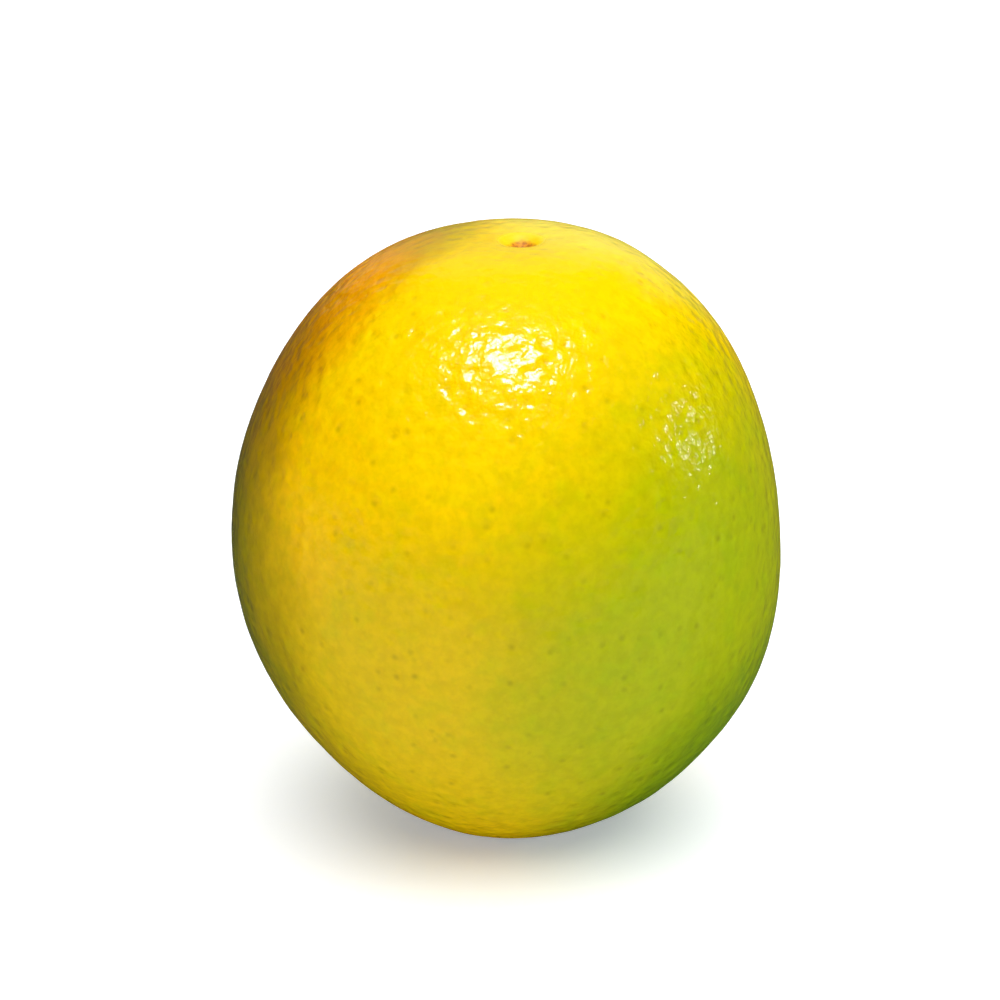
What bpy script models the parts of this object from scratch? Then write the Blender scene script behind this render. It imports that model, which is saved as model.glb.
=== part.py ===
"""A whole sweet orange: an oval, slightly lopsided fruit that rests on a small flat spot.

The fruit grew as one piece, so it is one closed solid. A profile from the stem pit to the
blossom end is turned about the core, the turned body is then given the gentle swells, the
crown and the lean that make it a grown thing, and a plane cuts the flat spot under it.

Units are metres, +Z is up, and the origin is the centre of the flat spot. +X is to the right
and -Y is the side that the fruit shows when it is seen from the front.

Run with: blender --background --python part.py
"""

import math

import bmesh
import bpy
from mathutils import Vector

# Overall size: the widest ring, and how far the crown and the blossom end are from it.
EQUATOR_RADIUS = 0.038
CROWN_HEIGHT = 0.0438
BASE_DEPTH = 0.0440

# How full the profile is above and below the widest ring: 2 is an ellipse, more is squarer.
CROWN_FULLNESS = 2.15
BASE_FULLNESS = 2.0

# The crown is pressed in a little round the stem pit, which sits off the core's own axis.
CROWN_SINK = 0.0014
CROWN_SINK_RADIUS = 0.009
CROWN_SHIFT = 0.0024
CROWN_SHIFT_RADIUS = 0.015

# The stem pit is the small round hollow that the stalk left.
PIT_RADIUS = 0.0034
PIT_DEPTH = 0.0017

# The blossom end leans to one side of the widest ring.
BASE_LEAN = 0.0008

# Gentle swells (+) and flats (-) of the flank: where each one is, as the angle round from +X
# and the angle above the widest ring, how far it spreads, and how high it stands.
LOWER_RIGHT_SWELL = (-10, -24, 24, 0.0013)
UPPER_LEFT_FLAT = (187, 44, 24, -0.0015)
LOWER_LEFT_FLAT = (188, -54, 24, -0.0015)
FAR_SIDE_SWELL = (100, 22, 32, 0.0007)
SWELLS = (LOWER_RIGHT_SWELL, UPPER_LEFT_FLAT, LOWER_LEFT_FLAT, FAR_SIDE_SWELL)

# The flat spot that the fruit rests on.
REST_RADIUS = 0.0070

# Resolution: segments round the fruit, close rings from the stem pit's middle out to a
# multiple of its radius, and wider rings from there down to a multiple of the flat spot's.
SEGMENTS = 72
PIT_RINGS = 9
PIT_RINGS_SPAN = 2.0
FLANK_RINGS = 40
SPOT_RING_SPAN = 1.25
MERGE_DISTANCE = 1e-6

# The peel: colour as linear red, green and blue.
PEEL_COLOUR = (0.84, 0.56, 0.012)
PEEL_ROUGHNESS = 0.42
SHARP_ANGLE = math.radians(40)


def clear_scene():
    """Remove every object that the opened file holds."""
    for obj in list(bpy.data.objects):
        bpy.data.objects.remove(obj, do_unlink=True)


def oval_radius(polar):
    """Distance from the centre to the plain oval, at an angle from +Z."""
    upper = polar < math.pi / 2
    height = CROWN_HEIGHT if upper else BASE_DEPTH
    fullness = CROWN_FULLNESS if upper else BASE_FULLNESS
    across = math.sin(polar) / EQUATOR_RADIUS
    along = abs(math.cos(polar)) / height
    return (across**fullness + along**fullness) ** (-1 / fullness)


def ring_angles():
    """Angles from +Z of the profile's points.

    They are close together at the stem pit and wider down the flank. One ring stands well
    outside the flat spot's rim and one well inside it, so that the cut meets neither.
    """
    pit_edge = math.atan2(PIT_RINGS_SPAN * PIT_RADIUS, CROWN_HEIGHT)
    outside_spot = math.pi - math.atan2(REST_RADIUS * SPOT_RING_SPAN, BASE_DEPTH)
    inside_spot = math.pi - math.atan2(REST_RADIUS / SPOT_RING_SPAN, BASE_DEPTH)
    flank = outside_spot - pit_edge
    crown_rings = [pit_edge * ring / PIT_RINGS for ring in range(PIT_RINGS)]
    flank_rings = [pit_edge + flank * ring / FLANK_RINGS for ring in range(FLANK_RINGS + 1)]
    return crown_rings + flank_rings + [inside_spot, math.pi]


def turned_body():
    """The plain oval: the profile spun once round +Z, with its seam and both poles merged."""
    body = bmesh.new()
    profile = []
    for polar in ring_angles():
        distance = oval_radius(polar)
        across = max(0.0, distance * math.sin(polar))
        profile.append(body.verts.new((across, 0, distance * math.cos(polar))))
    edges = [body.edges.new(pair) for pair in zip(profile, profile[1:])]
    bmesh.ops.spin(
        body,
        geom=profile + edges,
        cent=(0, 0, 0),
        axis=(0, 0, 1),
        angle=2 * math.pi,
        steps=SEGMENTS,
    )
    bmesh.ops.remove_doubles(body, verts=body.verts[:], dist=MERGE_DISTANCE)
    bmesh.ops.recalc_face_normals(body, faces=body.faces[:])
    return body


def bump(distance, radius):
    """A smooth rounded bump of height 1: a bell that fades over the radius."""
    return math.exp(-((distance / radius) ** 2))


def pit_shape(distance):
    """How deep the stem pit is, from 1 in its middle to 0 at its rim and beyond."""
    share = min(1.0, distance / PIT_RADIUS)
    return (1 - share**2) ** 2


def swell_height(direction):
    """How far all the swells and flats push the flank out in a direction from the centre."""
    total = 0.0
    for around, above, spread, height in SWELLS:
        side = math.cos(math.radians(above))
        centre = Vector(
            (
                side * math.cos(math.radians(around)),
                side * math.sin(math.radians(around)),
                math.sin(math.radians(above)),
            )
        )
        fall = (direction.dot(centre) - 1) / (1 - math.cos(math.radians(spread)))
        total += height * math.exp(fall)
    return total


def grown(point):
    """Where a point of the plain oval ends up on the grown fruit."""
    direction = point.normalized()
    moved = point + direction * swell_height(direction)
    if point.z > 0:
        off_core = math.hypot(point.x, point.y)
        moved.z -= CROWN_SINK * bump(off_core, CROWN_SINK_RADIUS)
        moved.z -= PIT_DEPTH * pit_shape(off_core)
        moved.x += CROWN_SHIFT * bump(off_core, CROWN_SHIFT_RADIUS)
    else:
        moved.x += BASE_LEAN * -point.z / BASE_DEPTH
    return moved


def rest_height():
    """The height at which the plain oval is as wide as the flat spot."""
    share = (1 - (REST_RADIUS / EQUATOR_RADIUS) ** BASE_FULLNESS) ** (1 / BASE_FULLNESS)
    swell = swell_height(Vector((0, 0, -1)))
    return -(BASE_DEPTH + swell) * share


def cut_flat_spot(body):
    """Cut the flat spot, close it with one face and put the origin at that face's centre."""
    cut = bmesh.ops.bisect_plane(
        body,
        geom=body.verts[:] + body.edges[:] + body.faces[:],
        plane_co=(0, 0, rest_height()),
        plane_no=(0, 0, -1),
        clear_outer=True,
    )
    rim = [part for part in cut["geom_cut"] if isinstance(part, bmesh.types.BMEdge)]
    filled = bmesh.ops.holes_fill(body, edges=rim, sides=0)
    spot = filled["faces"][0]
    bmesh.ops.translate(body, verts=body.verts[:], vec=-spot.calc_center_bounds())
    bmesh.ops.recalc_face_normals(body, faces=body.faces[:])


def peel_material():
    """Smooth waxy peel in the fruit's own yellow-orange."""
    material = bpy.data.materials.new("peel")
    material.use_nodes = True
    shader = material.node_tree.nodes["Principled BSDF"]
    shader.inputs["Base Color"].default_value = (*PEEL_COLOUR, 1)
    shader.inputs["Roughness"].default_value = PEEL_ROUGHNESS
    shader.inputs["Metallic"].default_value = 0
    return material


def add_orange():
    """Build the fruit and put it into the scene."""
    body = turned_body()
    for vertex in body.verts:
        vertex.co = grown(vertex.co)
    cut_flat_spot(body)
    mesh = bpy.data.meshes.new("orange")
    body.to_mesh(mesh)
    body.free()
    mesh.materials.append(peel_material())
    mesh.shade_smooth()
    mesh.set_sharp_from_angle(angle=SHARP_ANGLE)
    orange = bpy.data.objects.new("orange", mesh)
    bpy.context.scene.collection.objects.link(orange)
    return orange


def main():
    """Clear the scene and build the fruit."""
    clear_scene()
    add_orange()


main()
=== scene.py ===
"""Looks of a whole sweet orange: its peel, with the oil glands, colour and wax, and a studio.

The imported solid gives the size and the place. The peel made here stands for it, as one closed
surface: an oval drawn out from the middle of the fruit, with gentle swells, a crown pressed in
round the stem pit, and the glands as real dimples. Units are metres, +Z is up, the fruit rests
at z = 0, and -Y is the side seen from the front.
"""

import math

import bpy
import numpy as np
from bpy.props import FloatProperty, FloatVectorProperty, IntProperty, PointerProperty
from mathutils import Matrix, Vector


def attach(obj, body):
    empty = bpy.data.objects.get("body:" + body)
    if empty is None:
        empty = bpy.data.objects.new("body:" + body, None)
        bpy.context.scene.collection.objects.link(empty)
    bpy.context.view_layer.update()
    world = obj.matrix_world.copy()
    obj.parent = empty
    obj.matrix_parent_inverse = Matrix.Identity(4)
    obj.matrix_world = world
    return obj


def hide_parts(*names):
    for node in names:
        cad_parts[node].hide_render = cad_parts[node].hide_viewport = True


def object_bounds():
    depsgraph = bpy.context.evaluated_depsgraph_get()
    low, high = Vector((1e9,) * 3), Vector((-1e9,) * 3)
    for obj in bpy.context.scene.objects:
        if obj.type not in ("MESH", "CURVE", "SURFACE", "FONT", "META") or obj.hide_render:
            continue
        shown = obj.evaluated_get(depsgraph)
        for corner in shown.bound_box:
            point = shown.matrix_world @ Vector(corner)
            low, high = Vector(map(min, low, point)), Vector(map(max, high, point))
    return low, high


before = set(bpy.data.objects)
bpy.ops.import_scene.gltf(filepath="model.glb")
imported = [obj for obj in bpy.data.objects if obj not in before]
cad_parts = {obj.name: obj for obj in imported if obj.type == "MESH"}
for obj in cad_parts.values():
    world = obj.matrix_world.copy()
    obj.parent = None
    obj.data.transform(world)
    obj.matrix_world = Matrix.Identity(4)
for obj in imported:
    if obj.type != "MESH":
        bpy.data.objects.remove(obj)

bl_info = {
    "name": "Sweet Orange",
    "version": (1, 0, 0),
    "blender": (4, 5, 0),
    "location": "View3D > Sidebar > Orange",
    "description": "Builds a whole sweet orange's peel round its packed solid, and a studio",
    "category": "Object",
}

CAD_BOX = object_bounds()
NODE = "orange"
BODY = "root"

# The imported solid's box: everything is placed from it.
LOW = np.array(CAD_BOX[0])
HIGH = np.array(CAD_BOX[1])
MIDDLE = (LOW + HIGH) / 2

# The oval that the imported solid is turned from, and the flat spot that it rests on.
EQUATOR_RADIUS = 0.0380
CROWN_HEIGHT = 0.0438
BASE_DEPTH = 0.0440
CROWN_FULLNESS = 2.15
BASE_FULLNESS = 2.0
REST_RADIUS = 0.0070

# Gentle swells (+) and flats (-): angle round from +X, angle above the widest ring, spread,
# all in degrees, and height.
SWELLS = (
    (-10, -24, 24, 0.0013),
    (187, 44, 24, -0.0015),
    (188, -54, 24, -0.0015),
    (100, 22, 32, 0.0007),
)

# Oil glands: how evenly they are spread (0 is a lattice, 1 is pure chance), and how wide the
# soft dimple, the pore, the pore's flat floor and its dark dot are, as shares of the distance
# between glands.
GLAND_SPREAD = 0.8
DIMPLE_RADIUS = 0.62
PORE_RADIUS = 0.56
PORE_FLOOR = 0.05
DOT_RADIUS = 0.30

# Unevenness of the surface: the longest and the shortest of the waves that are added up.
LUMP_LENGTHS = (0.030, 0.012)
WAVE_LENGTHS = (0.008, 0.004)

# The empty edge round each of the map's six squares, as a share of its side.
MAP_EDGE = 0.015

# Where the peel's colours lie, painted one over the other: colour, angle round from +X and
# above the middle in degrees, and the cosines of the angles at which it fades out and is full.
# Where the last one is above 1, the colour is never quite full.
COLOUR_PATCHES = (
    ("green", 150, -20, 0.40, 1.15),
    # Painted sheen: the crown is paled the way the overhead lamp's broad reflection pales it.
    ("crown", 35, 65, 0.87, 0.98),
    ("golden", -155, 15, 0.72, 0.90),
    ("lime", -100, -20, 0.62, 0.90),
    ("green", -38, -5, 0.35, 0.97),
    ("deep_green", -10, -48, 0.68, 1.00),
    # Painted shade: the lower left and the top-left outline are darkened to a dull ochre.
    ("ochre_shade", -170, -38, 0.75, 1.00),
    ("ochre_shade", 165, 66, 0.92, 1.00),
    ("amber", 175, 54, 0.87, 1.00),
    # Painted shade: the left shoulder is darkened to orange-brown.
    ("amber_shade", 180, 28, 0.76, 1.02),
    # Partly green peel, partly painted shade: the far left flank is darkened to a deep olive.
    ("olive_and_shade", 186, -4, 0.68, 1.08),
)


# --------------------------------------------------------------------------- values

class OrangeShape(bpy.types.PropertyGroup):
    """Sizes of the fruit's surface."""

    grid: IntProperty(
        name="Grid", description="Faces along each side of the six patches", default=128,
        min=16, max=128,
    )
    crown_sink: FloatProperty(
        name="Crown sink", description="How far the crown is pressed in round the stem pit",
        default=0.0014, subtype="DISTANCE", unit="LENGTH",
    )
    crown_sink_radius: FloatProperty(
        name="Crown sink radius", description="How far the pressed-in crown reaches",
        default=0.009, subtype="DISTANCE", unit="LENGTH",
    )
    crown_shift: FloatProperty(
        name="Crown shift", description="How far the stem pit sits off the core's axis",
        default=0.0024, subtype="DISTANCE", unit="LENGTH",
    )
    crown_shift_radius: FloatProperty(
        name="Crown shift radius", description="How far round the stem pit that shift reaches",
        default=0.015, subtype="DISTANCE", unit="LENGTH",
    )
    pit_radius: FloatProperty(
        name="Pit radius", description="The stem pit's radius",
        default=0.0034, subtype="DISTANCE", unit="LENGTH",
    )
    pit_depth: FloatProperty(
        name="Pit depth", description="The stem pit's depth",
        default=0.0017, subtype="DISTANCE", unit="LENGTH",
    )
    scar_radius: FloatProperty(
        name="Scar radius", description="The dry scar's radius, at the bottom of the stem pit",
        default=0.0021, subtype="DISTANCE", unit="LENGTH",
    )
    base_lean: FloatProperty(
        name="Base lean", description="How far the blossom end leans to +X",
        default=0.0008, subtype="DISTANCE", unit="LENGTH",
    )
    gland_size: FloatProperty(
        name="Gland size", description="Distance from one oil gland to the next",
        default=0.0025, subtype="DISTANCE", unit="LENGTH",
    )
    gland_depth: FloatProperty(
        name="Gland depth", description="How deep the soft dimple over an oil gland is",
        default=0.00006, precision=6, subtype="DISTANCE", unit="LENGTH",
    )
    pore_depth: FloatProperty(
        name="Pore depth", description="How deep the steep pore in that dimple is",
        default=0.00015, precision=6, subtype="DISTANCE", unit="LENGTH",
    )
    ripple_height: FloatProperty(
        name="Ripple height", description="Unevenness about as wide as a gland",
        default=0.00043, precision=6, subtype="DISTANCE", unit="LENGTH",
    )
    grain_height: FloatProperty(
        name="Grain height", description="Unevenness far finer than a gland",
        default=0.00001, precision=6, subtype="DISTANCE", unit="LENGTH",
    )
    wave_height: FloatProperty(
        name="Wave height", description="Unevenness a few glands wide",
        default=0.00003, precision=6, subtype="DISTANCE", unit="LENGTH",
    )
    lump_height: FloatProperty(
        name="Lump height", description="Unevenness a centimetre or two wide",
        default=0.00012, precision=6, subtype="DISTANCE", unit="LENGTH",
    )
    seed: IntProperty(
        name="Seed", description="Which random unevenness the peel gets", default=7,
    )


class OrangeColours(bpy.types.PropertyGroup):
    """Colours of the peel, with painted shade in three of them and a painted sheen in one."""

    yellow: FloatVectorProperty(
        name="Yellow", description="Ripe peel, over most of the fruit",
        default=(0.96, 0.65, 0.0), subtype="COLOR", size=3, min=0, max=1,
    )
    golden: FloatVectorProperty(
        name="Golden", description="Riper peel, on the left of the front",
        default=(0.98, 0.59, 0.0), subtype="COLOR", size=3, min=0, max=1,
    )
    # Pale peel round the stem pit, with the overhead lamp's broad sheen painted into it.
    crown: FloatVectorProperty(
        name="Crown", description="Pale waxy peel round the stem pit",
        default=(0.98, 0.75, 0.07), subtype="COLOR", size=3, min=0, max=1,
    )
    lime: FloatVectorProperty(
        name="Lime", description="Peel that is just turning, low on the front",
        default=(0.74, 0.53, 0.0), subtype="COLOR", size=3, min=0, max=1,
    )
    green: FloatVectorProperty(
        name="Green", description="Peel that is still green, over the right flank",
        default=(0.40, 0.46, 0.0), subtype="COLOR", size=3, min=0, max=1,
    )
    deep_green: FloatVectorProperty(
        name="Deep green", description="The greenest peel, low on the right",
        default=(0.18, 0.31, 0.0), subtype="COLOR", size=3, min=0, max=1,
    )
    # The peel's yellow darkened to a dull ochre as painted shade, low on the left and along the
    # top-left outline.
    ochre_shade: FloatVectorProperty(
        name="Ochre", description="Dull peel, low on the left",
        default=(0.45, 0.34, 0.0), subtype="COLOR", size=3, min=0, max=1,
    )
    amber: FloatVectorProperty(
        name="Amber", description="The ripest peel, over the upper left",
        default=(0.98, 0.40, 0.0), subtype="COLOR", size=3, min=0, max=1,
    )
    # Dark orange-brown on the left shoulder: the amber darkened as painted shade of the side that
    # turns away from the lamps.
    amber_shade: FloatVectorProperty(
        name="Rust", description="Sunburnt peel on the left shoulder",
        default=(0.37, 0.18, 0.0), subtype="COLOR", size=3, min=0, max=1,
    )
    # Green peel on the far left flank, made much darker as painted shade of the side that turns away
    # from the lamps.
    olive_and_shade: FloatVectorProperty(
        name="Olive", description="Unripe peel on the far left flank",
        default=(0.13, 0.17, 0.0), subtype="COLOR", size=3, min=0, max=1,
    )
    scar: FloatVectorProperty(
        name="Scar", description="Dry brown scar where the stalk was",
        default=(0.46, 0.13, 0.0), subtype="COLOR", size=3, min=0, max=1,
    )
    scar_light: FloatVectorProperty(
        name="Scar, light", description="Paler flecks in that scar",
        default=(0.76, 0.33, 0.0), subtype="COLOR", size=3, min=0, max=1,
    )
    pit: FloatVectorProperty(
        name="Pit", description="Bright peel inside the stem pit",
        default=(0.98, 0.66, 0.0), subtype="COLOR", size=3, min=0, max=1,
    )


class OrangeStudio(bpy.types.PropertyGroup):
    """Light, camera and floor."""

    camera_distance: FloatProperty(
        name="Camera distance", description="From the lens to the middle of the fruit",
        default=0.5227, subtype="DISTANCE", unit="LENGTH",
    )
    camera_height: FloatProperty(
        name="Camera height", description="Angle of the camera above the horizon",
        default=math.radians(21), subtype="ANGLE", unit="ROTATION",
    )
    lens: FloatProperty(name="Lens", description="Focal length", default=135, unit="CAMERA")
    key_strength: FloatProperty(
        name="Key strength", description="Light from the lamp overhead", default=3.3,
    )
    highlight_power: FloatProperty(
        name="Highlight power", description="The lamp overhead as the wax mirrors it",
        default=6.6, unit="POWER",
    )
    fill_strength: FloatProperty(
        name="Fill strength", description="Light from the front", default=0.60,
    )
    side_strength: FloatProperty(
        name="Side strength", description="Light from the right", default=0.38,
    )
    back_strength: FloatProperty(
        name="Back strength", description="Light from behind and above", default=0.8,
    )
    strip_power: FloatProperty(
        name="Strip power", description="The tall narrow lamp at the right",
        default=0.46, precision=3, unit="POWER",
    )
    floor_glow: FloatVectorProperty(
        name="Floor glow", description="How the floor glows of itself, to the camera",
        default=(0.30, 0.32, 0.345), subtype="COLOR", size=3, min=0, max=1,
    )


# --------------------------------------------------------------------------- shape

def unit(around, above):
    """The direction at an angle round from +X and an angle above the horizon, in degrees."""
    a, e = math.radians(around), math.radians(above)
    return np.array((math.cos(a) * math.cos(e), math.sin(a) * math.cos(e), math.sin(e)))


def six_patches(side):
    """A ball drawn as a cube blown round: directions, faces and a map of six squares.

    Each patch is a grid of side x side faces on one face of a cube. A lattice point at i of
    -side to side is moved to tan(pi/4 * i/side), which makes the faces even once the point is
    drawn in to length 1. Points that two patches share are merged by their lattice numbers.
    """
    step = np.arange(side + 1)
    i, j = np.meshgrid(step, step, indexing="ij")
    frames = (
        ((1, 0, 0), (0, 1, 0), (0, 0, 1)), ((0, 1, 0), (1, 0, 0), (0, 0, -1)),
        ((0, 1, 0), (0, 0, 1), (1, 0, 0)), ((0, 0, 1), (0, 1, 0), (-1, 0, 0)),
        ((0, 0, 1), (1, 0, 0), (0, 1, 0)), ((1, 0, 0), (0, 0, 1), (0, -1, 0)),
    )
    corner = (i[:-1, :-1] * (side + 1) + j[:-1, :-1]).ravel()
    quad = np.stack((corner, corner + side + 1, corner + side + 2, corner + 1), 1)
    lattice, faces, maps = [], [], []
    for number, (u, v, out) in enumerate(frames):
        across = (2 * i - side).reshape(-1, 1)
        along = (2 * j - side).reshape(-1, 1)
        lattice.append(np.array(u) * across + np.array(v) * along + np.array(out) * side)
        faces.append(quad + number * (side + 1) ** 2)
        share = np.stack((i.ravel(), j.ravel()), 1) / side * (1 - 2 * MAP_EDGE) + MAP_EDGE
        place = (share + (number % 3, number // 3)) / (3, 2)
        maps.append(place[quad])
    points, index = np.unique(np.concatenate(lattice), axis=0, return_inverse=True)
    cube = np.tan(np.pi / 4 * points / side)
    directions = cube / np.linalg.norm(cube, axis=1, keepdims=True)
    return directions, index.reshape(-1)[np.concatenate(faces)], np.concatenate(maps)


def drawn_to_crown(directions, pull=0.45, reach=0.5):
    """Directions moved towards +Z near it, so that the stem pit gets smaller faces.

    The angle t from +Z becomes t * (1 - pull * exp(-(t / reach)^2)).
    """
    angle = np.arccos(np.clip(directions[:, 2], -1, 1))
    moved = angle * (1 - pull * np.exp(-((angle / reach) ** 2)))
    flat = np.hypot(directions[:, 0], directions[:, 1])
    shrink = np.sin(moved) / np.maximum(flat, 1e-12)
    return np.column_stack((directions[:, 0] * shrink, directions[:, 1] * shrink, np.cos(moved)))


def oval(directions):
    """The plain oval: the distance r with (across * r / R)^n + (up * r / H)^n = 1."""
    upper = directions[:, 2] > 0
    height = np.where(upper, CROWN_HEIGHT, BASE_DEPTH)
    full = np.where(upper, CROWN_FULLNESS, BASE_FULLNESS)
    across = np.hypot(directions[:, 0], directions[:, 1]) / EQUATOR_RADIUS
    along = np.abs(directions[:, 2]) / height
    return directions * ((across**full + along**full) ** (-1 / full))[:, None]


def swollen(directions):
    """Sum of the swells: each is height * exp((cos(angle to it) - 1) / (1 - cos(spread)))."""
    total = np.zeros(len(directions))
    for around, above, spread, height in SWELLS:
        fall = (directions @ unit(around, above) - 1) / (1 - math.cos(math.radians(spread)))
        total += height * np.exp(fall)
    return total


def pressed_down(points, shape):
    """The crown pressed in and shifted round the stem pit, and the base leant over.

    With d the distance from the core's axis, the crown sinks by sink * exp(-(d / radius)^2),
    the pit by depth * (1 - (d / pit)^2)^2 inside its rim, and both move to +X by
    shift * exp(-(d / reach)^2). The base moves to +X in proportion to its depth.
    """
    off_core = np.hypot(points[:, 0], points[:, 1])
    upper = points[:, 2] > 0
    sink = shape.crown_sink * np.exp(-((off_core / shape.crown_sink_radius) ** 2))
    share = np.minimum(1, off_core / shape.pit_radius)
    sink += shape.pit_depth * (1 - share**2) ** 2
    shift = shape.crown_shift * np.exp(-((off_core / shape.crown_shift_radius) ** 2))
    lean = shape.base_lean * -points[:, 2] / BASE_DEPTH
    return sink * upper, np.where(upper, shift, lean)


def waves(points, generator, longest, shortest, count=40):
    """A smooth random height from -1 to 1: a sum of plane waves in random directions.

    Each is cos(2 pi * (p . direction) / length + phase), with lengths spread evenly between
    the shortest and the longest.
    """
    aim = generator.normal(size=(count, 3))
    aim /= np.linalg.norm(aim, axis=1, keepdims=True)
    length = generator.uniform(shortest, longest, count)
    phase = generator.uniform(0, 2 * np.pi, count)
    total = np.cos(2 * np.pi * (points @ (aim / length[:, None]).T) + phase).sum(1)
    return total / np.sqrt(count / 2) / 2


def outward(points, faces):
    """Unit normals at the points: the sum of the crossed diagonals of the faces round each."""
    a, b, c, d = (points[faces[:, k]] for k in range(4))
    crossed = np.cross(c - a, d - b)
    total = np.zeros_like(points)
    for k in range(4):
        for axis in range(3):
            total[:, axis] += np.bincount(faces[:, k], crossed[:, axis], len(points))
    return total / np.linalg.norm(total, axis=1, keepdims=True)


# Cells: the same random cells as Blender's Voronoi texture, so that the dimples in the mesh
# lie under the dots in the colour. Its hash mixes three 32-bit words.
WORD = np.uint32
HASH_START = 0xDEADBEEF + 13


def turned(word, by):
    """A 32-bit word with its bits turned left."""
    return (word << WORD(by)) | (word >> WORD(32 - by))


def last_mix(a, b, c):
    """The hash's last round: each word in turn is crossed with and loses the one before it."""
    c = (c ^ b) - turned(b, 14)
    a = (a ^ c) - turned(c, 11)
    b = (b ^ a) - turned(a, 25)
    c = (c ^ b) - turned(b, 16)
    a = (a ^ c) - turned(c, 4)
    b = (b ^ a) - turned(a, 14)
    return (c ^ b) - turned(b, 24)


def first_mix(a, b, c):
    """The hash's first round: six steps of take away, cross with a turned word, and add."""
    for by in (4, 6, 8, 16, 19, 4):
        a, c = (a - c) ^ turned(c, by), c + b
        a, b, c = b, c, a
    return a, b, c


def random_shares(cells, extra=None):
    """A random number from 0 to 1 for each whole-numbered cell, as Blender's textures hash it."""
    words = np.ascontiguousarray(cells, np.float32).view(WORD)
    start = WORD((HASH_START + ((3 if extra is None else 4) << 2)) & 0xFFFFFFFF)
    a, b, c = (start + words[..., axis] for axis in range(3))
    if extra is not None:
        a, b, c = first_mix(a, b, c)
        a = a + np.float32(extra).view(WORD)
    return last_mix(a, b, c) / np.float64(0xFFFFFFFF)


def nearest_gland(points, size):
    """Distance in cells from each point to the nearest gland: one lies at random in each cell."""
    place = (points / size).astype(np.float32)
    cell = np.floor(place)
    best = np.full(len(points), np.inf)
    with np.errstate(over="ignore"):
        for x in (-1, 0, 1):
            for y in (-1, 0, 1):
                for z in (-1, 0, 1):
                    near = cell + np.array((x, y, z), np.float32)
                    chance = np.stack(
                        (random_shares(near), random_shares(near, 1), random_shares(near, 2)), 1
                    )
                    gland = near + chance * GLAND_SPREAD
                    best = np.minimum(best, ((gland - place) ** 2).sum(1))
    return np.sqrt(best)


def bowl(distance, radius):
    """A dimple's depth: share^2 * (3 - 2 * share), with share 1 in its middle and 0 at its rim."""
    share = np.clip(1 - distance / radius, 0, 1)
    return share * share * (3 - 2 * share)


def peel_points(directions, faces, shape):
    """The fruit's surface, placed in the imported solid's box.

    It is the oval with its swells, its crown pressed in and its base leant over, moved along its
    normals by the lumps and waves, and last pressed in by a dimple over every gland.
    """
    core = oval(directions)
    sink, shift = pressed_down(core, shape)
    points = core + directions * swollen(directions)[:, None]
    points[:, 2] -= sink
    points[:, 0] += shift
    rest = -BASE_DEPTH * math.sqrt(1 - (REST_RADIUS / EQUATOR_RADIUS) ** 2)
    points[:, 2] -= rest
    generator = np.random.default_rng(shape.seed)
    lumps = waves(points, generator, *LUMP_LENGTHS)
    small = waves(points, generator, *WAVE_LENGTHS)
    normal = outward(points, faces)
    height = shape.lump_height * lumps + shape.wave_height * small
    points = points + normal * height[:, None]
    points = in_box(points)
    pits = bowl(nearest_gland(points, shape.gland_size), DIMPLE_RADIUS)
    return points - outward(points, faces) * (shape.gland_depth * pits)[:, None]


def in_box(points):
    """Points pressed flat at z = 0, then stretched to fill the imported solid's box."""
    points = points.copy()
    points[:, 2] = np.maximum(points[:, 2], 0)
    low, high = points.min(0), points.max(0)
    return LOW + (points - low) * (HIGH - LOW) / (high - low)


def mesh_object(name, points, faces, maps):
    """An object at the origin from arrays of points, four-sided faces and map corners."""
    mesh = bpy.data.meshes.new(name)
    mesh.vertices.add(len(points))
    mesh.vertices.foreach_set("co", points.astype(np.float32).ravel())
    mesh.loops.add(faces.size)
    mesh.loops.foreach_set("vertex_index", faces.astype(np.int32).ravel())
    mesh.polygons.add(len(faces))
    mesh.polygons.foreach_set("loop_start", np.arange(0, faces.size, 4, dtype=np.int32))
    layer = mesh.uv_layers.new(name="OFBake")
    layer.uv.foreach_set("vector", maps.astype(np.float32).ravel())
    mesh.update(calc_edges=True)
    mesh.validate()
    mesh.shade_smooth()
    made = bpy.data.objects.new(name, mesh)
    bpy.context.scene.collection.objects.link(made)
    return made


# --------------------------------------------------------------------------- materials

# A Mix node has sockets for every kind of value. These are the ones for colours.
FIRST_COLOUR, SECOND_COLOUR, MIXED_COLOUR = 6, 7, 2
WHITE = (1.0, 1.0, 1.0, 1.0)
BLACK = (0.0, 0.0, 0.0, 1.0)

# Cloud textures: clouds to a metre, how many finer layers they have, and how strong those are.
DRIFT_CLOUDS = (55.0, 3.0, 0.55)
FRAY_CLOUDS = (420.0, 3.0, 0.55)
MOTTLE_CLOUDS = (620.0, 3.0, 0.6)
BLOTCH_CLOUDS = (240.0, 2.0, 0.5)
FLECK_CLOUDS = (2600.0, 3.0, 0.6)
SCAR_EDGE_CLOUDS = (700.0, 2.0, 0.5)
RIPPLE_CLOUDS = (520.0, 2.0, 0.5)
GRAIN_CLOUDS = (2200.0, 2.0, 0.6)
FLOOR_CLOUDS = (3.0, 2.0, 0.5)

# Between which of their values the mottling, the greener blotches and the scar's flecks set in.
MOTTLE_RANGE = (0.30, 0.70)
BLOTCH_RANGE = (0.45, 0.70)
FLECK_RANGE = (0.35, 0.65)

# How far the colour patches' edges drift and fray from side to side, as shares of the
# fruit's radius.
DRIFT = 0.34
FRAY = 0.10

# What the peel's own colour is multiplied by: at least and at most in the mottling, in the
# greener blotches, and in the dark dots.
MOTTLE_SHADES = (0.93, 1.05)
BLOTCH_TINT = (0.93, 1.0, 1.0)
DOT_TINT = (0.74, 0.72, 0.60)

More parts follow.
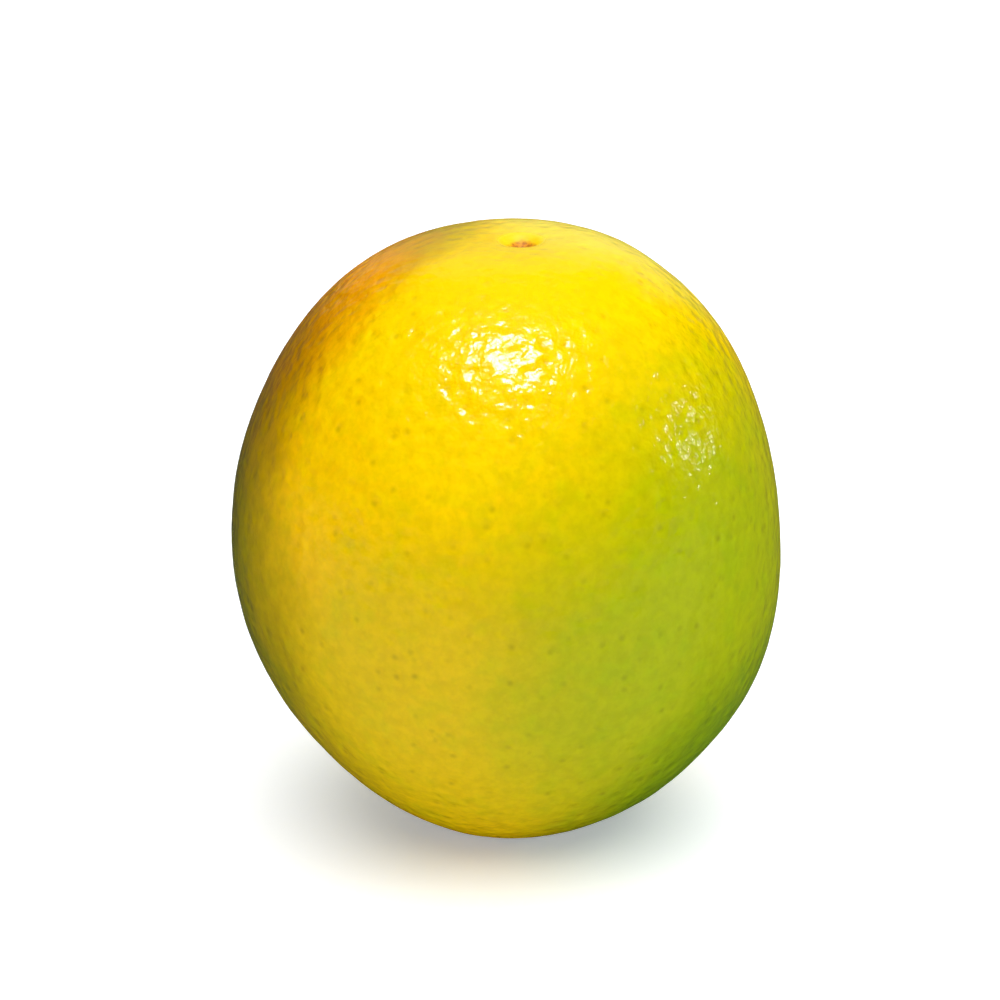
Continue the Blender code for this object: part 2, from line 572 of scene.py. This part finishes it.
# Every gland has a number from 0 to 1. Between these, its dot goes from faint to strong, and
# from 0 to 1 its pore goes from shallow to deep.
DOT_NUMBERS = (0.25, 0.90)
DOT_STRENGTHS = (0.20, 0.95)
PORE_STRENGTHS = (0.55, 1.0)

# What fades with height, from 0 level with the middle of the fruit to 1 straight above it:
# between which heights it changes, and its share below them and above them.
MARKS_AT_CROWN = (0.86, 0.97, 1.0, 0.2)
RELIEF_AT_CROWN = (0.82, 0.95, 1.0, 0.4)
RELIEF_AT_SIDES = (0.25, 0.75, 0.55, 1.0)

# Where the stem pit's colour and its scar are full and where they have gone, as shares of
# their radii.
PIT_EDGE = (0.75, 1.25)
SCAR_EDGE = (0.75, 1.2)

# The wax: how rough it is on the peel and on a dot, and how much rougher dry skin is.
WAX_ROUGHNESS = 0.19
DOT_ROUGHNESS = 0.26
DRY_ROUGHNESS = 0.40
WAX_IOR = 1.45

# Light that goes into the peel and comes out again: how much of it, and how far red, green
# and blue get, as shares of a distance in metres.
GLOW_SHARE = 0.8
GLOW_RADIUS = (1.0, 0.8, 0.3)
GLOW_SCALE = 0.0018

# The brown spot at the blossom end: where it is full and where it has gone, in metres.
TIP_FULL = 0.0008
TIP_GONE = 0.0014


class Wiring:
    """Short calls for adding nodes to a tree and joining them up."""

    def __init__(self, tree):
        self.tree = tree

    def node(self, kind, sockets=None, **settings):
        """Add a node, set its properties, and fill its inputs with values or other outputs."""
        made = self.tree.nodes.new(kind)
        for key, value in settings.items():
            setattr(made, key, value)
        for key, value in (sockets or {}).items():
            self.fill(made.inputs[key], value)
        return made

    def fill(self, socket, value):
        """Give an input socket a constant, or link an output to it."""
        if isinstance(value, bpy.types.NodeSocket):
            self.tree.links.new(value, socket)
        else:
            socket.default_value = value

    def maths(self, operation, *values):
        """A Math node's output."""
        return self.node("ShaderNodeMath", dict(enumerate(values)), operation=operation).outputs[0]

    def times(self, first, second):
        """Two values multiplied."""
        return self.maths("MULTIPLY", first, second)

    def vector(self, operation, *values):
        """A Vector Math node's vector."""
        made = self.node("ShaderNodeVectorMath", dict(enumerate(values)), operation=operation)
        return made.outputs["Vector"]

    def measure(self, operation, first, second):
        """A Vector Math node's number, such as a distance."""
        made = self.node("ShaderNodeVectorMath", {0: first, 1: second}, operation=operation)
        return made.outputs["Value"]

    def split(self, vector):
        """A vector's X, Y and Z."""
        return self.node("ShaderNodeSeparateXYZ", {0: vector}).outputs

    def ramp(self, value, low, high, to_low=0.0, to_high=1.0):
        """A smooth step of a value between two limits, from one result to another."""
        sockets = {
            "Value": value, "From Min": low, "From Max": high, "To Min": to_low, "To Max": to_high,
        }
        return self.node("ShaderNodeMapRange", sockets, interpolation_type="SMOOTHSTEP").outputs[0]

    def mix(self, share, first, second, blend="MIX"):
        """Two colours mixed by a share from 0 to 1."""
        sockets = {"Factor": share, FIRST_COLOUR: first, SECOND_COLOUR: second}
        made = self.node("ShaderNodeMix", data_type="RGBA", blend_type=blend)
        for key, value in sockets.items():
            self.fill(made.inputs[key], value)
        return made.outputs[MIXED_COLOUR]

    def shaded(self, colour, shade):
        """Two colours multiplied."""
        return self.mix(1.0, colour, shade, "MULTIPLY")

    def grey(self, value):
        """A colour from one value."""
        return self.node("ShaderNodeCombineColor", {0: value, 1: value, 2: value}).outputs[0]

    def clouds(self, place, per_metre, detail, rough):
        """A cloud texture: its value is about 0.5 on average, and so is its colour."""
        sockets = {"Vector": place, "Scale": per_metre, "Detail": detail, "Roughness": rough}
        return self.node("ShaderNodeTexNoise", sockets).outputs

    def cloud_value(self, place, clouds):
        """A cloud texture's value."""
        return self.clouds(place, *clouds)["Fac"]

    def nudged(self, vector, clouds, how_far):
        """A vector moved at random by a cloud texture's colour."""
        centred = self.vector("SUBTRACT", clouds["Color"], (0.5, 0.5, 0.5))
        step = self.vector("MULTIPLY", centred, (how_far,) * 3)
        return self.vector("ADD", vector, step)


def node_group(name, takes, gives):
    """An empty shader group with named inputs and outputs: (wiring, its inputs, its output node)."""
    group = bpy.data.node_groups.new(name, "ShaderNodeTree")
    for label, kind, value in takes:
        made = group.interface.new_socket(label, in_out="INPUT", socket_type=kind)
        if value is not None:
            made.default_value = value
    for label in gives:
        group.interface.new_socket(label, in_out="OUTPUT", socket_type="NodeSocketFloat")
    wires = Wiring(group)
    return wires, wires.node("NodeGroupInput").outputs, wires.node("NodeGroupOutput")


def patch_group():
    """Mask of the part of a ball round a direction: 1 in the middle, 0 past its edge.

    It is a smooth step of the cosine of the angle to that direction.
    """
    takes = (
        ("Direction", "NodeSocketVector", None), ("Towards", "NodeSocketVector", None),
        ("Edge", "NodeSocketFloat", 0.0), ("Middle", "NodeSocketFloat", 1.0),
    )
    wires, given, out = node_group("Patch of a ball", takes, ("Mask",))
    aim = wires.vector("NORMALIZE", given["Towards"])
    cosine = wires.measure("DOT_PRODUCT", given["Direction"], aim)
    wires.fill(out.inputs["Mask"], wires.ramp(cosine, given["Edge"], given["Middle"]))
    return wires.tree


def gland_group():
    """Oil glands scattered through a cell pattern: each has a pore, a dark dot and a number."""
    takes = (
        ("Place", "NodeSocketVector", None), ("Per Metre", "NodeSocketFloat", 1.0),
        ("Pore Radius", "NodeSocketFloat", PORE_RADIUS),
        ("Dot Radius", "NodeSocketFloat", DOT_RADIUS),
    )
    wires, given, out = node_group("Oil glands", takes, ("Pore", "Dot", "Number"))
    sockets = {"Vector": given["Place"], "Scale": given["Per Metre"], "Randomness": GLAND_SPREAD}
    cells = wires.node("ShaderNodeTexVoronoi", sockets).outputs
    number = wires.node("ShaderNodeSeparateColor", {"Color": cells["Color"]}).outputs[0]
    pore = wires.ramp(cells["Distance"], PORE_FLOOR, given["Pore Radius"], 1.0, 0.0)
    dot = wires.ramp(cells["Distance"], 0.0, given["Dot Radius"], 1.0, 0.0)
    wires.fill(out.inputs["Pore"], pore)
    wires.fill(out.inputs["Dot"], dot)
    wires.fill(out.inputs["Number"], number)
    return wires.tree


def solid(colour):
    """A colour value with its fourth part, as node sockets take it."""
    return (*colour, 1.0)


class PeelMaterial:
    """Waxy citrus peel: hue by side with painted shade and sheen, mottling, dark gland dots, pores,
    scars and gloss.
    """

    def __init__(self, shape, colours):
        self.shape = shape
        self.colours = colours
        self.material = bpy.data.materials.new("waxy peel")
        self.material.use_nodes = True
        self.material.node_tree.nodes.clear()
        self.wires = Wiring(self.material.node_tree)
        self.place = self.wires.node("ShaderNodeTexCoord").outputs["Object"]
        self.patch = patch_group()
        from_middle = self.wires.vector("SUBTRACT", self.place, tuple(MIDDLE))
        self.out = self.wires.vector("NORMALIZE", from_middle)
        self.height = self.wires.split(self.out)["Z"]

    def wandering(self, direction, clouds, how_far):
        """A direction moved by clouds, so that what is read from it has wandering edges."""
        made = self.wires.clouds(self.place, *clouds)
        return self.wires.vector("NORMALIZE", self.wires.nudged(direction, made, how_far))

    def patch_mask(self, direction, around, above, edge, middle):
        """The mask of one patch of colour, read from a direction."""
        made = self.wires.node("ShaderNodeGroup", node_tree=self.patch)
        self.wires.fill(made.inputs["Direction"], direction)
        self.wires.fill(made.inputs["Towards"], tuple(unit(around, above)))
        self.wires.fill(made.inputs["Edge"], edge)
        self.wires.fill(made.inputs["Middle"], middle)
        return made.outputs["Mask"]

    def spot(self, centre, full, gone, ragged=0.0):
        """1 near a point of the fruit and 0 from a distance on, with a ragged edge or without."""
        place = self.place
        if ragged:
            place = self.wires.nudged(place, self.wires.clouds(place, *SCAR_EDGE_CLOUDS), ragged)
        away = self.wires.measure("DISTANCE", place, tuple(centre))
        return self.wires.ramp(away, full, gone, 1.0, 0.0)

    def tinted(self, colour, share, tint):
        """A colour multiplied by a tint, by a share from 0 to 1."""
        return self.wires.shaded(colour, self.wires.mix(share, WHITE, solid(tint)))

    def side_colour(self):
        """The peel's colour by side: the patches over yellow, with wandering edges, painted shade on
        the left and a painted sheen at the crown.
        """
        out = self.wandering(self.out, DRIFT_CLOUDS, DRIFT)
        out = self.wandering(out, FRAY_CLOUDS, FRAY)
        colour = solid(self.colours.yellow)
        for name, around, above, edge, middle in COLOUR_PATCHES:
            mask = self.patch_mask(out, around, above, edge, middle)
            colour = self.wires.mix(mask, colour, solid(getattr(self.colours, name)))
        return colour

    def mottled(self, colour, glands):
        """A colour with fine mottling, greener blotches and dark dots, but clear at the crown."""
        wires = self.wires
        marked = wires.ramp(self.height, *MARKS_AT_CROWN)
        mottle = wires.cloud_value(self.place, MOTTLE_CLOUDS)
        mottle = wires.grey(wires.ramp(mottle, *MOTTLE_RANGE, *MOTTLE_SHADES))
        colour = wires.mix(marked, colour, wires.shaded(colour, mottle))
        blotches = wires.ramp(wires.cloud_value(self.place, BLOTCH_CLOUDS), *BLOTCH_RANGE)
        colour = self.tinted(colour, wires.times(blotches, marked), BLOTCH_TINT)
        strength = wires.ramp(glands["Number"], *DOT_NUMBERS, *DOT_STRENGTHS)
        dots = wires.times(wires.times(glands["Dot"], strength), marked)
        return self.tinted(colour, dots, DOT_TINT)

    def scarred(self, colour, pit, scar, tip):
        """A colour with the stem pit's bright wall, its flecked scar, and the blossom end."""
        wires = self.wires
        colour = wires.mix(pit, colour, solid(self.colours.pit))
        flecks = wires.ramp(wires.cloud_value(self.place, FLECK_CLOUDS), *FLECK_RANGE)
        brown = wires.mix(flecks, solid(self.colours.scar), solid(self.colours.scar_light))
        colour = wires.mix(scar, colour, brown)
        return wires.mix(tip, colour, solid(self.colours.scar))

    def relief(self, glands):
        """Height of what is too fine for the mesh: pores, the ripples between them and grain."""
        wires = self.wires
        strength = wires.ramp(glands["Number"], 0.0, 1.0, *PORE_STRENGTHS)
        pores = wires.times(glands["Pore"], strength)
        height = wires.times(pores, -self.shape.pore_depth)
        ripples = wires.cloud_value(self.place, RIPPLE_CLOUDS)
        height = wires.maths("MULTIPLY_ADD", ripples, self.shape.ripple_height, height)
        grain = wires.cloud_value(self.place, GRAIN_CLOUDS)
        height = wires.maths("MULTIPLY_ADD", grain, self.shape.grain_height, height)
        at_sides = wires.ramp(self.height, *RELIEF_AT_SIDES)
        at_crown = wires.ramp(self.height, *RELIEF_AT_CROWN)
        return wires.times(height, wires.times(at_sides, at_crown))

    def roughness(self, glands, dry):
        """Smooth wax, a little rougher over the dots and much rougher on dry skin."""
        wax = self.wires.ramp(glands["Dot"], 0.0, 1.0, WAX_ROUGHNESS, DOT_ROUGHNESS)
        return self.wires.maths("ADD", self.wires.ramp(dry, 0.0, 1.0, 0.0, DRY_ROUGHNESS), wax)

    def build(self, pit_floor, tip_middle):
        """Wire everything into one shader."""
        wires = self.wires
        made = wires.node("ShaderNodeGroup", node_tree=gland_group())
        wires.fill(made.inputs["Place"], self.place)
        made.inputs["Per Metre"].default_value = 1 / self.shape.gland_size
        glands = made.outputs
        pit_radius = self.shape.pit_radius
        scar_radius = self.shape.scar_radius
        pit = self.spot(pit_floor, *(pit_radius * share for share in PIT_EDGE))
        scar = self.spot(pit_floor, *(scar_radius * share for share in SCAR_EDGE), scar_radius)
        tip = self.spot(tip_middle, TIP_FULL, TIP_GONE)
        colour = self.scarred(self.mottled(self.side_colour(), glands), pit, scar, tip)
        dry = wires.maths("MAXIMUM", pit, tip)
        bump = wires.node("ShaderNodeBump", {"Height": self.relief(glands), "Distance": 1.0})
        shader = wires.node("ShaderNodeBsdfPrincipled")
        wires.fill(shader.inputs["Base Color"], colour)
        wires.fill(shader.inputs["Roughness"], self.roughness(glands, dry))
        wires.fill(shader.inputs["Normal"], bump.outputs["Normal"])
        shader.inputs["IOR"].default_value = WAX_IOR
        shader.inputs["Subsurface Weight"].default_value = GLOW_SHARE
        shader.inputs["Subsurface Radius"].default_value = GLOW_RADIUS
        shader.inputs["Subsurface Scale"].default_value = GLOW_SCALE
        out = wires.node("ShaderNodeOutputMaterial")
        wires.fill(out.inputs["Surface"], shader.outputs["BSDF"])
        return self.material


# --------------------------------------------------------------------------- studio

# Soft lamps far away: the value that holds each one's strength, then how wide it looks, its
# angle round from +X and its angle above the horizon, in degrees.
SOFT_LAMPS = (
    ("key", "key_strength", 70, -72, 73),
    ("front fill", "fill_strength", 50, -88, 12),
    ("side fill", "side_strength", 60, 15, 30),
    ("back fill", "back_strength", 60, 100, 50),
)

# Lamps that the wax mirrors: the value that holds each one's power, then its width and height
# in metres, its angles as above, and whether it also lights what is matt.
BOX_LAMPS = (
    ("highlight", "highlight_power", 0.30, 0.21, -90, 75, False),
    ("strip", "strip_power", 0.032, 0.060, 4, 14, True),
)
BOX_LAMP_DISTANCE = 0.8

FLOOR_RADIUS = 4.0
FLOOR_SIDES = 96
FLOOR_SHADES = ((0.94, 0.94, 0.94, 1.0), (0.96, 0.96, 0.96, 1.0))
FLOOR_ROUGHNESS = 0.6
FLOOR_SPECULAR = 0.2

# The floor as the wax mirrors it: a grey pool in front of the fruit, which fades between these
# places on the Y axis, and nearly black elsewhere.
POOL_NEAR = (-0.06, 0.0)
POOL_FAR = (-0.24, -0.12)
POOL_GREY = 0.22
DARK_GREY = 0.03

# The wall behind the fruit as the wax mirrors it. It fades at its sides and its top between
# these values of X / Y and Z / Y of a direction, and sets in between these values of Y. The
# background is a little over white.
WALL_SIDES = (0.28, 0.48)
WALL_TOP = (1.30, 1.50)
WALL_AHEAD = (0.001, 0.01)
WALL_BRIGHTNESS = 0.22
BACKGROUND_BRIGHTNESS = 1.1

# What the camera is aimed at, in metres across and up its view from the middle of the fruit,
# and the width of its film in millimetres.
AIM_ACROSS = -0.00082
AIM_UP = 0.00459
FILM_WIDTH = 36


def lamp(name, data, around, above, away=0.0):
    """Put a lamp in the scene so that it shines at the fruit, with its width level."""
    towards = Vector(unit(around, above))
    level = Vector((-towards.y, towards.x, 0)).normalized()
    made = bpy.data.objects.new(name, data)
    made.location = Vector(MIDDLE) + towards * away
    made.rotation_mode = "QUATERNION"
    axes = Matrix((level, towards.cross(level), towards)).transposed()
    made.rotation_quaternion = axes.to_quaternion()
    bpy.context.scene.collection.objects.link(made)
    return made


def soft_lamp(name, strength, spread, around, above):
    """A lamp far away that lights only what is matt."""
    data = bpy.data.lights.new(name, "SUN")
    data.energy = strength
    data.angle = math.radians(spread)
    lamp(name, data, around, above).visible_glossy = False


def box_lamp(name, watts, width, height, around, above, matt):
    """A rectangular lamp near the fruit, which may light only what is glossy."""
    data = bpy.data.lights.new(name, "AREA")
    data.shape = "RECTANGLE"
    data.size = width
    data.size_y = height
    data.energy = watts
    lamp(name, data, around, above, BOX_LAMP_DISTANCE).visible_diffuse = matt


def floor_material(glow):
    """Pale and matt, glowing a little to the camera, which keeps the shadow short."""
    material = bpy.data.materials.new("pale floor")
    material.use_nodes = True
    wires = Wiring(material.node_tree)
    shader = material.node_tree.nodes["Principled BSDF"]
    place = wires.node("ShaderNodeTexCoord").outputs["Object"]
    path = wires.node("ShaderNodeLightPath").outputs
    ahead = wires.split(place)["Y"]
    pool = wires.times(wires.ramp(ahead, *POOL_NEAR, POOL_GREY, 0.0), wires.ramp(ahead, *POOL_FAR))
    mirrored = wires.grey(wires.maths("MAXIMUM", pool, DARK_GREY))
    pale = wires.mix(wires.cloud_value(place, FLOOR_CLOUDS), *FLOOR_SHADES)
    pale = wires.mix(path["Is Glossy Ray"], pale, mirrored)
    wires.fill(shader.inputs["Base Color"], pale)
    wires.fill(shader.inputs["Emission Color"], wires.mix(path["Is Camera Ray"], BLACK, solid(glow)))
    shader.inputs["Emission Strength"].default_value = 1.0
    shader.inputs["Roughness"].default_value = FLOOR_ROUGHNESS
    shader.inputs["Specular IOR Level"].default_value = FLOOR_SPECULAR
    return material


def make_floor(glow):
    """A plain round floor."""
    turn = np.linspace(0, 2 * np.pi, FLOOR_SIDES, endpoint=False)
    points = FLOOR_RADIUS * np.stack((np.cos(turn), np.sin(turn), np.zeros(FLOOR_SIDES)), 1)
    mesh = bpy.data.meshes.new("floor")
    mesh.from_pydata(points.tolist(), [], [tuple(range(FLOOR_SIDES))])
    mesh.materials.append(floor_material(glow))
    floor = bpy.data.objects.new("floor", mesh)
    bpy.context.scene.collection.objects.link(floor)


def make_world(scene):
    """White to the camera, dark to what is matt, and a bright wall behind to gloss.

    The wall is where the direction's X / Y and Z / Y, with Y positive, fall in its outline.
    """
    world = bpy.data.worlds.new("studio")
    world.use_nodes = True
    world.node_tree.nodes.clear()
    wires = Wiring(world.node_tree)
    path = wires.node("ShaderNodeLightPath").outputs
    aim = wires.split(wires.node("ShaderNodeTexCoord").outputs["Generated"])
    ahead = wires.maths("MAXIMUM", aim["Y"], WALL_AHEAD[0])
    aside = wires.maths("ABSOLUTE", wires.maths("DIVIDE", aim["X"], ahead))
    above = wires.maths("DIVIDE", aim["Z"], ahead)
    wall = wires.times(
        wires.ramp(aside, *WALL_SIDES, 1.0, 0.0), wires.ramp(above, *WALL_TOP, 1.0, 0.0),
    )
    wall = wires.times(wall, wires.ramp(aim["Y"], *WALL_AHEAD, 0.0, WALL_BRIGHTNESS))
    to_gloss = wires.times(path["Is Glossy Ray"], wall)
    to_camera = wires.times(path["Is Camera Ray"], BACKGROUND_BRIGHTNESS)
    back = wires.node("ShaderNodeBackground", {"Color": WHITE})
    wires.fill(back.inputs["Strength"], wires.maths("MAXIMUM", to_gloss, to_camera))
    out = wires.node("ShaderNodeOutputWorld")
    wires.fill(out.inputs["Surface"], back.outputs[0])
    scene.world = world


def make_camera(scene, studio):
    """The camera, a little above the fruit and in front of it."""
    data = bpy.data.cameras.new("camera")
    data.lens = studio.lens
    data.sensor_width = FILM_WIDTH
    camera = bpy.data.objects.new("camera", data)
    scene.collection.objects.link(camera)
    back = Vector(unit(-90, math.degrees(studio.camera_height)))
    right = Vector((1, 0, 0))
    up = back.cross(right)
    aim = Vector(MIDDLE) + right * AIM_ACROSS + up * AIM_UP
    camera.location = aim + back * studio.camera_distance
    camera.rotation_mode = "QUATERNION"
    camera.rotation_quaternion = back.to_track_quat("Z", "Y")
    scene.camera = camera


# --------------------------------------------------------------------------- operators

class ORANGE_OT_peel(bpy.types.Operator):
    """Build the fruit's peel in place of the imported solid"""

    bl_idname = "orange.peel"
    bl_label = "Build the peel"

    def execute(self, context):
        shape = context.scene.orange_shape
        directions, faces, maps = six_patches(shape.grid)
        points = peel_points(drawn_to_crown(directions), faces, shape)
        peel = mesh_object("orange_peel", points, faces, maps)
        pit_floor = points[np.argmax(directions[:, 2])]
        tip = points[np.argmin(directions[:, 2])]
        look = PeelMaterial(shape, context.scene.orange_colours)
        peel.data.materials.append(look.build(pit_floor, tip))
        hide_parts(NODE)
        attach(peel, BODY)
        return {"FINISHED"}


class ORANGE_OT_studio(bpy.types.Operator):
    """Build the floor, the lamps, the background and the camera"""

    bl_idname = "orange.studio"
    bl_label = "Build the studio"

    def execute(self, context):
        scene = context.scene
        studio = scene.orange_studio
        make_floor(studio.floor_glow)
        for name, strength, *place in SOFT_LAMPS:
            soft_lamp(name, getattr(studio, strength), *place)
        for name, power, *place in BOX_LAMPS:
            box_lamp(name, getattr(studio, power), *place)
        make_world(scene)
        make_camera(scene, studio)
        scene.view_settings.view_transform = "Standard"
        return {"FINISHED"}


class ORANGE_PT_panel(bpy.types.Panel):
    """Lists the steps that build the fruit and its studio"""

    bl_idname = "ORANGE_PT_panel"
    bl_label = "Sweet Orange"
    bl_space_type = "VIEW_3D"
    bl_region_type = "UI"
    bl_category = "Orange"

    def draw(self, context):
        column = self.layout.column()
        for step in STEPS:
            column.operator(step.bl_idname)


STEPS = (ORANGE_OT_peel, ORANGE_OT_studio)
GROUPS = {
    "orange_shape": OrangeShape,
    "orange_colours": OrangeColours,
    "orange_studio": OrangeStudio,
}


def register():
    """Tell Blender about the values, the steps and the panel."""
    for group in GROUPS.values():
        bpy.utils.register_class(group)
    for name, group in GROUPS.items():
        setattr(bpy.types.Scene, name, PointerProperty(type=group))
    for step in STEPS:
        bpy.utils.register_class(step)
    bpy.utils.register_class(ORANGE_PT_panel)


def unregister():
    """Undo register."""
    bpy.utils.unregister_class(ORANGE_PT_panel)
    for step in STEPS:
        bpy.utils.unregister_class(step)
    for name, group in GROUPS.items():
        delattr(bpy.types.Scene, name)
        bpy.utils.unregister_class(group)


def main():
    """Build everything."""
    register()
    bpy.ops.orange.peel()
    bpy.ops.orange.studio()


if __name__ == "__main__":
    main()
